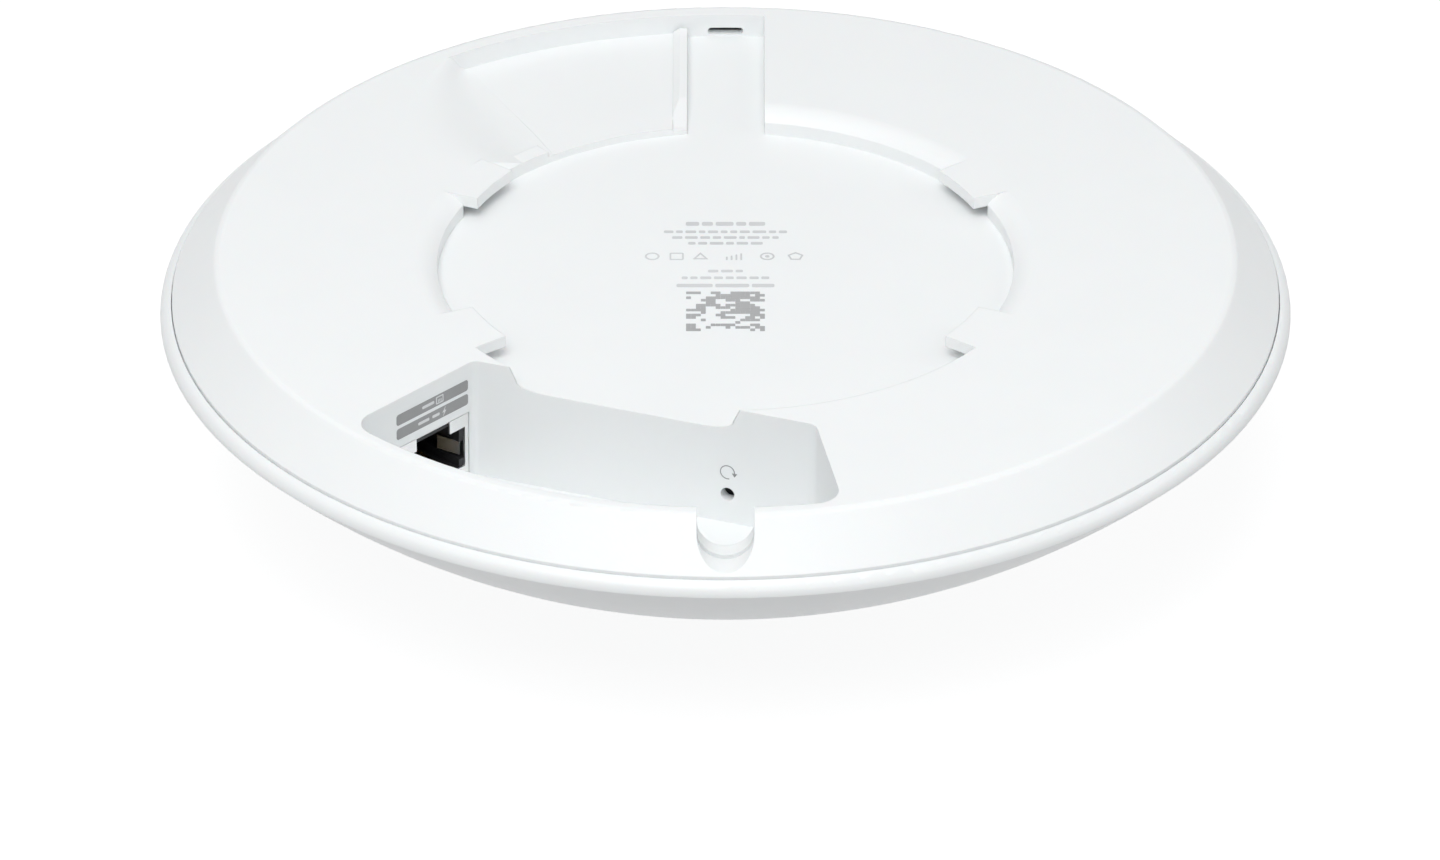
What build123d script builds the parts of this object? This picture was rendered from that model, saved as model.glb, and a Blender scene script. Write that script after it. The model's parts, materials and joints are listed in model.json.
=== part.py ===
from build123d import *
import math
import os

# Ceiling access point. Origin: centre of the mounting face. +Z points at the ceiling, so the
# whole device lies below z = 0, with the pole of its dome lowest. All sizes are in millimetres.

# ---- outer form -------------------------------------------------------------------------
FLAT_R = 79.2            # radius where the flat mounting face would meet the sloped flank
FLAT_EDGE_FILLET = 1.5
FLANK_R = 86.0           # rear cover's largest radius
FLANK_Z = -7.04
REAR_RIM_Z = -9.0        # bottom of the rear cover's rim
SEAM_GAP = 0.12          # between the rear cover's rim and the front cover's lip
RIM_R = 87.85            # widest radius of the device
RIM_Z = -9.7
POLE_Z = -45.2
LIP_TOP_R = 86.25
LIP_TOP_Z = -7.45
LIP_MID_R = 87.45        # where the lip's rounded top passes between its inner edge and the rim
LIP_MID_Z = -8.3
HOOK_ANGLES = (30.0, 90.0, 150.0, 205.0, 330.0)   # front cover's snap stems
HOOK_IN_R = 80.2
HOOK_T = 1.2
HOOK_SWEEP = 7.0
HOOK_LOW_Z = -13.2
HOOK_TOP_Z = -6.4
SHELL = 2.2              # rear cover wall
DOME_WALL = 2.0
DOME_R = (RIM_R ** 2 + (RIM_Z - POLE_Z) ** 2) / (2 * (RIM_Z - POLE_Z))
DOME_CENTRE_Z = POLE_Z + DOME_R
DOME_IN_R = DOME_R - DOME_WALL

# ---- bracket recess ---------------------------------------------------------------------
RECESS_R = 44.8
RECESS_Z = -3.8
RECESS_FLOOR = 2.0       # floor thickness
BEVEL_R = 48.4           # the recess's rounded-off edge runs level into the flat face here
BEVEL_Z = -1.7           # and meets the recess's upright wall here
WIDE_R = 47.8            # plain wall of the recess on the port side, leaning out to its top
WIDE_TOP_R = 48.2
WIDE_START = 204.0       # angles between which the recess has that wider radius
WIDE_SWEEP = 132.0
WIDE_COVE = 1.5          # rounding where that wall meets the recess floor
LUG_IN_R = 42.4
LUG_THICK = 1.9
LUG_SWEEP = 14.0
LUG_STARTS = (24.0, 142.0, 203.0, 323.0)   # start angle of each bayonet lug
UNDERCUT_R = 50.0        # the hollow under each lug reaches out to here

# ---- latch channel, guide rib and sweep pocket ------------------------------------------
CHANNEL_X0 = -6.05
CHANNEL_X1 = 6.15
OUTER_WALL_R = 76.3
RIB_X0 = -8.3
RIB_TOP_Z = -1.9
RIB_LOW_Z = -3.06
POCKET_OUT_Z = -3.1
POCKET_IN_Z = -2.6
# The pocket's floor climbs to the flat face along a ramp that widens inwards: each pair is the
# foot of the ramp and its top, in plan, from the outer wall to the recess.
POCKET_RAMP = (((-41.0, 65.3), (-43.8, 62.8)), ((-39.0, 60.5), (-47.5, 55.0)),
               ((-34.8, 52.0), (-49.5, 43.5)), ((-30.3, 43.0), (-46.0, 33.5)),
               ((-26.5, 34.5), (-38.5, 25.5)))
RAMP_LIFT = 0.005        # keeps the ramp's foot off the pocket's floor surface
PAD_START = 128.4        # low pad beside the recess at the ramp's inner end
PAD_SWEEP = 12.6
PAD_R = 47.6
PAD_Z = -1.8
WELL_WALL_R = 77.8       # outside of the wells' outer wall
RELEASE_SLOT_W = 5.6
RELEASE_SLOT_H = 1.15
RELEASE_SLOT_Z = -2.9

# ---- port bay ---------------------------------------------------------------------------
BAY_A = (-38.6, -33.0)   # corner between the jack wall and the back wall
BAY_B = (13.8, -52.5)    # back wall's other end
BAY_C = (17.9, -76.0)    # right wall's outer end
BAY_W = (-58.6, -53.7)   # jack wall's outer end
BAY_OUT_R = 77.3
BAY_Z = -20.3
BAY_WALL = 1.8
BAY_TIP_FILLET = 4.0
BAY_A_FILLET = 1.3
BAY_B_FILLET = 2.2
BAY_CLEAR = 0.4          # bay outside to dome inside
NOTCH_R = 4.35           # half width of the U-shaped cable exit
NOTCH_CENTRE_Z = -2.3
GROOVE_R = 80.2          # thin groove across the cable exit
GROOVE_W = 1.1
GROOVE_DEPTH = 0.8

# ---- jack -------------------------------------------------------------------------------
JACK_FROM_CORNER = 8.9   # jack centre, measured along the jack wall from corner A
JACK_W = 15.2
JACK_TOP_Z = -8.8
JACK_DEPTH = 15.4
JACK_SKIN = 0.3
MOUTH_W = 11.75
MOUTH_H = 6.9
SHELL_MOUTH_W = 13.8     # the shield's opening is wider than the insert's
KEY_W = 7.2
KEY_H = 2.2
FINGER_Z = -15.0         # middle of the side fingers
FINGER_H = 2.3
FINGER_X = 6.1           # middle of a finger, from the mouth's middle
FINGER_TILT = 13.0
FINGER_T = 0.25
FINGER_LENGTH = 4.0
MOUTH_DEPTH = 12.0
WIRE_W = 0.4             # contact wire's width and thickness
WIRE_T = 0.35
WIRE_SLANT = 14.0
CONTACT_PITCH = 1.02
CONTACT_COUNT = 8

# ---- board stack ------------------------------------------------------------------------
BOARD_TOP_Z = BAY_Z
BOARD_T = 1.6
BOARD_BOTTOM_Z = BOARD_TOP_Z - BOARD_T
BOARD_R = 65.5
SPREADER_TOP_Z = -7.5
SPREADER_T = 2.0
SPREADER_BOTTOM_Z = SPREADER_TOP_Z - SPREADER_T
SPREADER_R = 64.0
POST_R = 3.0
POST_SPOTS = ((52.0, 20.0), (-58.0, 12.0), (28.0, 48.0), (-28.0, 50.0), (42.0, -34.0), (0.0, -6.0))
SPREADER_SCREW_SPOTS = ((57.0, 0.0), (-57.0, 2.5), (14.0, 57.0), (50.0, -30.0))
SCREW_R = 1.25
SCREW_HEAD_R = 2.6
SCREW_HEAD_T = 1.5
SCREW_HOLE_R = 1.6
SCREW_DRIVE_R = 0.9
CAPACITOR_R = 3.15
CAPACITOR_H = 7.7
CAN_H = 2.9
CAN_SKIN = 0.25
THERMAL_PAD_T = 0.8
CHIP_GAP = 0.02
# Each shield can's west, east, south and north sides. The first covers the processor, the others
# the radios.
CAN_BOXES = ((-16.0, 14.0, 2.0, 32.0), (20.0, 44.0, 22.0, 42.0), (20.0, 44.0, -4.0, 16.0),
             (-46.0, -22.0, 14.0, 36.0))
PEDESTAL_INSET = 4.0     # heat spreader's pedestals, in from the cans' sides

# ---- status light -----------------------------------------------------------------------
RING_R = 28.0
RING_W = 2.2
RING_DEPTH = 1.0
RING_CLEAR = 0.03
RING_TOP_Z = -30.0       # above the ring's groove, inside the device
GUIDE_WALL = 2.0
GUIDE_FLANGE = 6.0
GUIDE_FLANGE_Z = -24.8
GUIDE_LED_GAP = 1.3      # light guide's top, below the board
LED_SIDE = 1.6
LED_H = 0.7
LED_COUNT = 8

# ---- reset switch -----------------------------------------------------------------------
RESET_X = 0.31           # pinhole's place on the back wall
RESET_Z = -15.3
PINHOLE_R = 1.1
BUTTON_R = 1.75
BUTTON_CLEAR = 0.05
COLLAR_R = 2.3           # collar at the button's inner end
CLIP_OUT = 0.35          # steel clip's outside, from the switch housing
CLIP_GAP = 0.03
SWITCH_SET_BACK = 4.2    # switch front, measured inwards from the bay's back wall surface
SWITCH_D = 3.0
SWITCH_W = 6.2
SWITCH_H = 6.2


def direction(start, end):
    """Unit vector in plan from one point to another."""
    length = math.dist(start, end)
    return ((end[0] - start[0]) / length, (end[1] - start[1]) / length)


def along(point, vector, distance):
    return (point[0] + vector[0] * distance, point[1] + vector[1] * distance)


BACK_DIR = direction(BAY_A, BAY_B)
BACK_IN = (-BACK_DIR[1], BACK_DIR[0])          # from the bay into the device
JACK_DIR = direction(BAY_A, BAY_W)
JACK_OUT = (-JACK_DIR[1], JACK_DIR[0])         # out of the jack's mouth, into the bay
JACK_SPOT = along(BAY_A, JACK_DIR, JACK_FROM_CORNER)
RESET_SPOT = along(BAY_A, BACK_DIR, (RESET_X - BAY_A[0]) / BACK_DIR[0])


def polar(radius, angle):
    return (radius * math.cos(math.radians(angle)), radius * math.sin(math.radians(angle)))


def ring_solid(points):
    """Revolve a closed outline of (radius, z) points about the Z axis."""
    return revolve(make_face(Polyline(*[(r, 0, z) for r, z in points], close=True)), Axis.Z)


def disc(radius, low, high, spot=(0, 0)):
    """Cylinder between two heights."""
    return Pos(spot[0], spot[1], (low + high) / 2) * Cylinder(radius, high - low)


def block(x0, x1, y0, y1, z0, z1):
    return Pos((x0 + x1) / 2, (y0 + y1) / 2, (z0 + z1) / 2) * Box(x1 - x0, y1 - y0, z1 - z0)


def prism(points, low, high):
    """Straight-sided solid over a plan outline."""
    return Pos(0, 0, low) * extrude(make_face(Polyline(*points, close=True)), high - low)


def ball(radius):
    return Pos(0, 0, DOME_CENTRE_Z) * Sphere(radius)


def sector(inner, outer, start, sweep, low, high):
    """Part of a ring between two radii, heights and angles."""
    corners = ((inner, 0, low), (outer, 0, low), (outer, 0, high), (inner, 0, high))
    return Rot(0, 0, start) * revolve(make_face(Polyline(*corners, close=True)), Axis.Z, sweep)


def wall_plane(spot, out, z=0.0):
    """Plane on a wall: local x runs along it, local y is up, local z points out of it."""
    return Plane(origin=(spot[0], spot[1], z), x_dir=(-out[1], out[0], 0), z_dir=(out[0], out[1], 0))


JACK_PLANE = wall_plane(JACK_SPOT, JACK_OUT)
RESET_PLANE = wall_plane(RESET_SPOT, (-BACK_IN[0], -BACK_IN[1]))


def on_plane(plane, x0, x1, z0, z1, out0, out1):
    """Block in a wall's own frame: along the wall, real height, and distance out of the wall."""
    middle = Pos((x0 + x1) / 2, (z0 + z1) / 2, (out0 + out1) / 2)
    return plane * middle * Box(x1 - x0, z1 - z0, out1 - out0)


# ---- rear cover -------------------------------------------------------------------------
def bay_outline(grow=0.0):
    """Plan of the port bay, its outer side an arc about the device's centre."""
    far = 100.0
    right_far = along(BAY_C, direction(BAY_B, BAY_C), far)
    left_far = along(BAY_W, JACK_DIR, far)
    wedge = make_face(Polyline(BAY_A, BAY_B, right_far, left_far, close=True))
    outline = wedge & Circle(BAY_OUT_R)
    west = outline.vertices().sort_by(Axis.X)[0]
    east = outline.vertices().sort_by(Axis.X)[-1]
    outline = fillet([west, east], BAY_TIP_FILLET)
    for corner, radius in ((BAY_A, BAY_A_FILLET), (BAY_B, BAY_B_FILLET)):
        vertex = outline.vertices().sort_by_distance((corner[0], corner[1], 0))[0]
        outline = fillet([vertex], radius)
    if grow:
        outline = offset(outline, grow)
    return outline


def bay_solid(grow, low, sphere_radius):
    """Bay volume down to a floor that rises with the dome towards the rim."""
    top = 2.0 if grow == 0 else 0.0
    column = Pos(0, 0, low) * extrude(bay_outline(grow), top - low)
    return column & ball(sphere_radius)


def pocket_floor(point):
    """Height of the sweep pocket's floor, which falls slightly outwards."""
    share = (math.hypot(*point) - RECESS_R) / (OUTER_WALL_R - RECESS_R)
    return POCKET_IN_Z + (POCKET_OUT_Z - POCKET_IN_Z) * share


def ramp_section(foot, top):
    """Upright slice of the space above the ramp, which is level at its top and at its foot."""
    past = along(foot, direction(top, foot), 1.5)
    half = ((top[0] + foot[0]) / 2, (top[1] + foot[1]) / 2)
    low = pocket_floor(foot) + RAMP_LIFT
    slope = Bezier((*top, 0), (*half, 0), (*half, low), (*foot, low))
    rest = Polyline((*foot, low), (*past, low), (*past, 0.6), (*top, 0.6), (*top, 0))
    return Face(Wire([slope] + list(rest.edges())))


def pocket_space():
    """Sweep pocket: a shallow floor closed on one side by a widening ramp."""
    floor = ring_solid([(40, POCKET_IN_Z), (OUTER_WALL_R, POCKET_OUT_Z), (OUTER_WALL_R, 1), (40, 1)])
    feet = [foot for foot, top in POCKET_RAMP]
    outer_foot = along(feet[0], direction(feet[1], feet[0]), 20)
    plan = prism([(RIB_X0, 30), (RIB_X0, 90), (outer_foot[0], 90), outer_foot] + feet, -6, 2)
    ramp = loft([ramp_section(foot, top) for foot, top in POCKET_RAMP])
    return (floor & plan) + (ramp & disc(OUTER_WALL_R, -6, 2))


def bevel_space():
    """Space above the recess's rounded-off edge, which stops at the plain wall's ends."""
    width = BEVEL_R - RECESS_R
    radius = (width ** 2 + BEVEL_Z ** 2) / (-2 * BEVEL_Z)
    middle_r = RECESS_R + width / 2
    middle = (middle_r, 0, math.sqrt(radius ** 2 - (width / 2) ** 2) - radius)
    edge = ThreePointArc((RECESS_R, 0, BEVEL_Z), middle, (BEVEL_R, 0, 0))
    rest = Polyline((BEVEL_R, 0, 0), (BEVEL_R, 0, 1), (0, 0, 1), (0, 0, BEVEL_Z), (RECESS_R, 0, BEVEL_Z))
    section = make_face(Curve() + [edge, rest])
    return Rot(0, 0, WIDE_START + WIDE_SWEEP) * revolve(section, Axis.Z, 360 - WIDE_SWEEP)


def recess_space():
    """Round recess: bevelled edge, and a wider wall with a rounded foot on the port side."""
    space = disc(RECESS_R, RECESS_Z, 2) + bevel_space()
    inset = WIDE_COVE * (1 - math.sqrt(0.5))
    foot = ThreePointArc((WIDE_R - WIDE_COVE, 0, RECESS_Z), (WIDE_R - inset, 0, RECESS_Z + inset),
                         (WIDE_R, 0, RECESS_Z + WIDE_COVE))
    rest = Polyline((WIDE_R, 0, RECESS_Z + WIDE_COVE), (WIDE_TOP_R, 0, 0), (WIDE_TOP_R, 0, 1), (0, 0, 1),
                    (0, 0, RECESS_Z), (WIDE_R - WIDE_COVE, 0, RECESS_Z))
    wide = Rot(0, 0, WIDE_START) * revolve(make_face(Curve() + [foot, rest]), Axis.Z, WIDE_SWEEP)
    for start in LUG_STARTS:
        space += sector(40, UNDERCUT_R, start, LUG_SWEEP, RECESS_Z, -LUG_THICK)
    return space + wide


def lug(start):
    return sector(LUG_IN_R, WIDE_TOP_R + 0.3, start, LUG_SWEEP, -LUG_THICK, 0)


def rib():
    """Guide rib beside the channel, with a ramp at the recess end."""
    body = block(RIB_X0, CHANNEL_X0, 45.4, 75.4, -4.5, RIB_TOP_Z)
    slope = math.degrees(math.atan2(RIB_TOP_Z - RIB_LOW_Z, 7.5))
    cutter = Pos(0, 45.4, RIB_LOW_Z) * Rot(slope, 0, 0) * Pos(0, 0, 5) * Box(40, 60, 10)
    left = Pos(RIB_X0, 0, RIB_TOP_Z - 0.7) * Rot(0, -35, 0) * Pos(0, 60, 5) * Box(6, 60, 10)
    return body - (cutter & block(-40, 40, 30, 53, -10, 10)) - left


def notch_space(extra, y_from, y_to):
    """U-shaped passage for the cable, open towards the ceiling."""
    radius = NOTCH_R + extra
    tube = Pos(0, (y_from + y_to) / 2, NOTCH_CENTRE_Z) * Rot(90, 0, 0) * Cylinder(radius, y_to - y_from)
    return tube + block(-radius, radius, y_from, y_to, NOTCH_CENTRE_Z, 2)


def release_slot():
    """Flat slot with rounded ends through the channel's outer wall."""
    outline = SlotOverall(RELEASE_SLOT_W, RELEASE_SLOT_H)
    return Pos(0, WELL_WALL_R + 0.5, RELEASE_SLOT_Z) * Rot(90, 0, 0) * extrude(outline, 4)


def rear_outer():
    """Outside of the rear cover, filled: flat face, rounded edge, sloped flank and upright rim."""
    turn = math.atan2(-FLANK_Z, FLANK_R - FLAT_R)
    back = FLAT_EDGE_FILLET * math.tan(turn / 2)
    start = FLAT_R - back
    drop = FLAT_EDGE_FILLET * (1 - math.cos(turn / 2))
    middle = (start + FLAT_EDGE_FILLET * math.sin(turn / 2), 0, -drop)
    end = (FLAT_R + back * math.cos(turn), 0, -back * math.sin(turn))
    edge = ThreePointArc((start, 0, 0), middle, end)
    sides = Polyline(end, (FLANK_R, 0, FLANK_Z), (FLANK_R, 0, REAR_RIM_Z), (0, 0, REAR_RIM_Z),
                     (0, 0, 0), (start, 0, 0))
    return revolve(make_face(Curve() + [edge, sides]), Axis.Z)


def rear_cover():
    outer = rear_outer()
    run = (FLANK_R - FLAT_R) / -FLANK_Z
    inset = SHELL * math.sqrt(1 + run * run)
    cavity = ring_solid([(0, -SHELL), (FLAT_R + SHELL * run - inset, -SHELL),
                         (FLANK_R - inset, FLANK_Z), (FLANK_R - inset, REAR_RIM_Z - 1), (0, REAR_RIM_Z - 1)])
    cover = outer - cavity
    cover += disc(UNDERCUT_R + 2.0, RECESS_Z - RECESS_FLOOR, -1)
    wells = block(RIB_X0 - 2, CHANNEL_X1 + 2, 30, 90, -5.6, -1)
    wells += prism([(RIB_X0, 20), (RIB_X0, 90), (-68, 90), (-68, 30), (-40, 20)], -5.0, -1)
    cover += wells & disc(WELL_WALL_R, -6, 0)
    flank_side = block(-100, 100, -100, 100, REAR_RIM_Z, 5) - outer
    cover += bay_solid(BAY_WALL, BAY_Z - BAY_WALL, DOME_IN_R - BAY_CLEAR) - flank_side
    cover += block(-NOTCH_R - 2, NOTCH_R + 2, -85.5, -77, -8.8, -1) & outer
    for spot in SPREADER_SCREW_SPOTS:
        cover += disc(POST_R, SPREADER_TOP_Z, -1, spot)
        cover -= disc(SCREW_R, SPREADER_TOP_Z - 1, -SHELL - 1.0, spot)
    cover -= recess_space()
    channel = block(CHANNEL_X0, CHANNEL_X1, 30, 90, RECESS_Z, 2) & disc(OUTER_WALL_R, -6, 3)
    cover -= channel
    cover -= pocket_space() - sector(RECESS_R, PAD_R, PAD_START, PAD_SWEEP, -6, PAD_Z)
    cover -= block(RIB_X0, CHANNEL_X0, 40, 90, RIB_LOW_Z, 2) & disc(OUTER_WALL_R, -6, 3)
    cover += rib()
    for start in LUG_STARTS:
        cover += lug(start)
    cover -= bay_solid(0, BAY_Z, DOME_IN_R - BAY_CLEAR - BAY_WALL)
    cover -= notch_space(0, -90, -70)
    groove = notch_space(GROOVE_DEPTH, -GROOVE_R - GROOVE_W, -GROOVE_R)
    cover -= groove & block(-10, 10, -90, -70, -12, NOTCH_CENTRE_Z - 0.4)
    cover -= release_slot()
    jack_half = JACK_W / 2 + 0.15
    cover -= on_plane(JACK_PLANE, -jack_half, jack_half, BAY_Z - BAY_WALL - 1, JACK_TOP_Z + 0.15, -4, 0.6)
    cover -= RESET_PLANE * Pos(0, RESET_Z, -1) * Cylinder(PINHOLE_R, 4)
    return cover


# ---- front cover and status light -------------------------------------------------------
def dome_height(radius, sphere_radius):
    """Height of a sphere about the dome's centre at a given distance from the axis."""
    return DOME_CENTRE_Z - math.sqrt(sphere_radius ** 2 - radius ** 2)


def front_cover():
    ledge_r = FLANK_R + SEAM_GAP
    ledge_z = REAR_RIM_Z - 0.1
    inner_r = math.sqrt(DOME_IN_R ** 2 - (DOME_CENTRE_Z - ledge_z) ** 2)
    lip = ThreePointArc((LIP_TOP_R, 0, LIP_TOP_Z), (LIP_MID_R, 0, LIP_MID_Z), (RIM_R, 0, RIM_Z))
    mid_r = RIM_R / 2
    outside_mid = (mid_r, 0, dome_height(mid_r, DOME_R))
    outside = ThreePointArc((RIM_R, 0, RIM_Z), outside_mid, (0, 0, POLE_Z))
    pole = Line((0, 0, POLE_Z), (0, 0, POLE_Z + DOME_WALL))
    inside_mid = (mid_r, 0, dome_height(mid_r, DOME_IN_R))
    inside = ThreePointArc((0, 0, POLE_Z + DOME_WALL), inside_mid, (inner_r, 0, ledge_z))
    ledge = Polyline((inner_r, 0, ledge_z), (ledge_r, 0, ledge_z), (ledge_r, 0, LIP_TOP_Z - 0.1),
                     (LIP_TOP_R, 0, LIP_TOP_Z))
    cover = revolve(make_face(Curve() + [lip, outside, pole, inside, ledge]), Axis.Z)
    groove = sector(RING_R - RING_W / 2, RING_R + RING_W / 2, 0, 360, POLE_Z - 1, RING_TOP_Z)
    cover -= groove - ball(DOME_R - RING_DEPTH)
    stem = sector(HOOK_IN_R, HOOK_IN_R + HOOK_T, -HOOK_SWEEP / 2, HOOK_SWEEP, HOOK_LOW_Z, HOOK_TOP_Z)
    for angle in HOOK_ANGLES:
        cover += Rot(0, 0, angle) * stem & ball(DOME_IN_R + 0.5)
    return cover


def light_ring():
    half = RING_W / 2 - RING_CLEAR
    ring = sector(RING_R - half, RING_R + half, 0, 360, POLE_Z - 1, RING_TOP_Z)
    return (ring & ball(DOME_R)) - ball(DOME_R - RING_DEPTH + RING_CLEAR)


def light_guide():
    """Clear ring that carries the light from the board to the inside of the dome."""
    half = GUIDE_WALL / 2
    wall = sector(RING_R - half, RING_R + half, 0, 360, POLE_Z, BOARD_BOTTOM_Z - GUIDE_LED_GAP)
    flange = sector(RING_R - GUIDE_FLANGE / 2, RING_R + GUIDE_FLANGE / 2, 0, 360, GUIDE_FLANGE_Z - 1.2,
                    GUIDE_FLANGE_Z)
    return (wall & ball(DOME_IN_R - 0.05)) + flange


def led_angles():
    return [45.0 * index + 22.5 for index in range(LED_COUNT)]


def status_leds():
    half = LED_SIDE / 2
    led = block(RING_R - half, RING_R + half, -half, half, BOARD_BOTTOM_Z - LED_H, BOARD_BOTTOM_Z - CHIP_GAP)
    return [Rot(0, 0, angle) * led for angle in led_angles()]


# ---- jack -------------------------------------------------------------------------------
KEY_LOW_Z = JACK_TOP_Z - KEY_H
MOUTH_LOW_Z = KEY_LOW_Z - MOUTH_H


def mouth_space(width, top_z, out0, out1):
    """Plug opening: a wide mouth with the latch keyway on its ceiling side."""
    key = on_plane(JACK_PLANE, -KEY_W / 2, KEY_W / 2, KEY_LOW_Z - 0.1, top_z, out0, out1)
    return key + on_plane(JACK_PLANE, -width / 2, width / 2, MOUTH_LOW_Z, KEY_LOW_Z, out0, out1)


def jack_shell():
    half = JACK_W / 2
    shell = on_plane(JACK_PLANE, -half, half, BOARD_TOP_Z, JACK_TOP_Z, -JACK_DEPTH, -0.1)
    inside = half - JACK_SKIN
    shell -= on_plane(JACK_PLANE, -inside, inside, BOARD_TOP_Z - 1, JACK_TOP_Z - JACK_SKIN,
                      -JACK_DEPTH + JACK_SKIN, -0.1 - JACK_SKIN)
    return shell - mouth_space(SHELL_MOUTH_W, JACK_TOP_Z + 1, -0.1 - JACK_SKIN - 0.05, 1)


def jack_insert():
    half = JACK_W / 2 - JACK_SKIN - 0.02
    insert = on_plane(JACK_PLANE, -half, half, BOARD_TOP_Z + CHIP_GAP, JACK_TOP_Z - JACK_SKIN - 0.02,
                      -JACK_DEPTH + JACK_SKIN + 0.02, -0.12 - JACK_SKIN)
    insert -= mouth_space(MOUTH_W, JACK_TOP_Z - JACK_SKIN - 0.6, -MOUTH_DEPTH, 1)
    side = MOUTH_W / 2 - 0.5
    slot_half = FINGER_H / 2 + 0.4
    for sign in (-1, 1):
        low, high = sorted((sign * side, sign * (half - 0.1)))
        insert -= on_plane(JACK_PLANE, low, high, FINGER_Z - slot_half, FINGER_Z + slot_half, -9, 1)
    return insert


def contact_offsets():
    return [(index - (CONTACT_COUNT - 1) / 2) * CONTACT_PITCH for index in range(CONTACT_COUNT)]


def jack_contacts():
    """Eight sprung wires that rise from the mouth's floor towards the back."""
    wires = []
    for offset_x in contact_offsets():
        wire = on_plane(JACK_PLANE, offset_x - WIRE_W / 2, offset_x + WIRE_W / 2, MOUTH_LOW_Z + 0.05,
                        MOUTH_LOW_Z + 0.05 + WIRE_T, -MOUTH_DEPTH + 0.1, -2.0)
        slant = Pos(offset_x, MOUTH_LOW_Z + 1.3, -7.0) * Rot(WIRE_SLANT, 0, 0) * Box(WIRE_W, WIRE_T, 8.6)
        wires.append(wire + JACK_PLANE * slant)
    return wires


def jack_shield_springs():
    """Side fingers that ground the plug's shield."""
    fingers = []
    for sign in (-1, 1):
        finger = Pos(sign * FINGER_X, FINGER_Z, -2.9) * Rot(0, sign * FINGER_TILT, 0)
        fingers.append(JACK_PLANE * finger * Box(FINGER_T, FINGER_H, FINGER_LENGTH))
    return fingers


# ---- board and what stands on it --------------------------------------------------------
def board_cutter(clearance, low, high):
    return Pos(0, 0, low) * extrude(bay_outline(BAY_WALL + clearance), high - low)


def main_board():
    board = disc(BOARD_R, BOARD_BOTTOM_Z, BOARD_TOP_Z)
    board -= board_cutter(0.5, BOARD_BOTTOM_Z - 1, BOARD_TOP_Z + 1)
    board -= block(17, 90, -90, -62.0, BOARD_BOTTOM_Z - 1, BOARD_TOP_Z + 1)
    for spot in POST_SPOTS:
        board -= disc(SCREW_HOLE_R, BOARD_BOTTOM_Z - 1, BOARD_TOP_Z + 1, spot)
    return board.solids().sort_by(SortBy.VOLUME)[-1]


def can_middle(box):
    return ((box[0] + box[1]) / 2, (box[2] + box[3]) / 2)


def shield_cans():
    cans = []
    for x0, x1, y0, y1 in CAN_BOXES:
        can = block(x0, x1, y0, y1, BOARD_TOP_Z + CHIP_GAP, BOARD_TOP_Z + CAN_H)
        can -= block(x0 + CAN_SKIN, x1 - CAN_SKIN, y0 + CAN_SKIN, y1 - CAN_SKIN, BOARD_TOP_Z - 1,
                     BOARD_TOP_Z + CAN_H - CAN_SKIN)
        cans.append(can)
    return cans


def chip(x, y, width, depth, height, bottom_side=False):
    """Plain package on either side of the board."""
    if bottom_side:
        return block(x - width / 2, x + width / 2, y - depth / 2, y + depth / 2, BOARD_BOTTOM_Z - height,
                     BOARD_BOTTOM_Z - CHIP_GAP)
    return block(x - width / 2, x + width / 2, y - depth / 2, y + depth / 2, BOARD_TOP_Z + CHIP_GAP,
                 BOARD_TOP_Z + height)


def main_processor():
    base = chip(-5, 20, 17, 17, 1.1)
    die = block(-9, -1, 16, 24, BOARD_TOP_Z + 1.1, BOARD_TOP_Z + 1.7)
    return base + die


def radio_chips():
    return [chip(*can_middle(box), 12, 12, 1.2) for box in CAN_BOXES[1:]]


def radio_frontends():
    parts = []
    for box in CAN_BOXES[1:]:
        x, y = can_middle(box)
        for step in (-8.5, 8.5):
            parts.append(chip(x + step, y, 3, 3, 0.9))
    return parts


def memory_chips():
    return [chip(-9.5, 6.5, 9, 7, 1.2), chip(5.0, 6.5, 9, 7, 1.2)]


def clock_crystals():
    return [chip(9.5, 24, 3.2, 2.5, 0.9), chip(9.5, 18, 3.2, 2.5, 0.9)]


def chip_capacitors():
    parts = []
    for index in range(9):
        parts.append(chip(-18 + index * 4.5, -28 + index % 2 * 2.5, 2.0, 1.25, 1.25))
    for angle in (20, 70, 110, 160, 200, 250, 290, 340):
        spot = polar(20.0, angle)
        parts.append(chip(spot[0], spot[1], 1.6, 0.8, 0.8, bottom_side=True))
    return parts


def wound_part(x, y, width, depth, height, waist):
    """Ferrite core with a taped winding between its end cheeks."""
    low = BOARD_TOP_Z + CHIP_GAP
    core = block(x - width / 2, x + width / 2, y - depth / 2, y + depth / 2, low, BOARD_TOP_Z + height)
    groove = block(x - width / 2 - 1, x + width / 2 + 1, y - depth / 2 - 1, y + depth / 2 + 1,
                   BOARD_TOP_Z + height * 0.25, BOARD_TOP_Z + height * 0.75)
    keep = block(x - width / 2 + waist, x + width / 2 - waist, y - depth / 2 + waist, y + depth / 2 - waist,
                 -30, 0)
    return core - (groove - keep)


def poe_transformer():
    return wound_part(-46.0, -8.5, 14, 12, 8.2, 1.0)


def lan_transformer():
    return chip(-27.5, -18.5, 12, 15, 3.6)


def power_inductors():
    return [wound_part(-30.0, 2.5, 7, 7, 4.5, 0.7), wound_part(-22.0, -3.0, 6, 6, 4.0, 0.7)]


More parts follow.
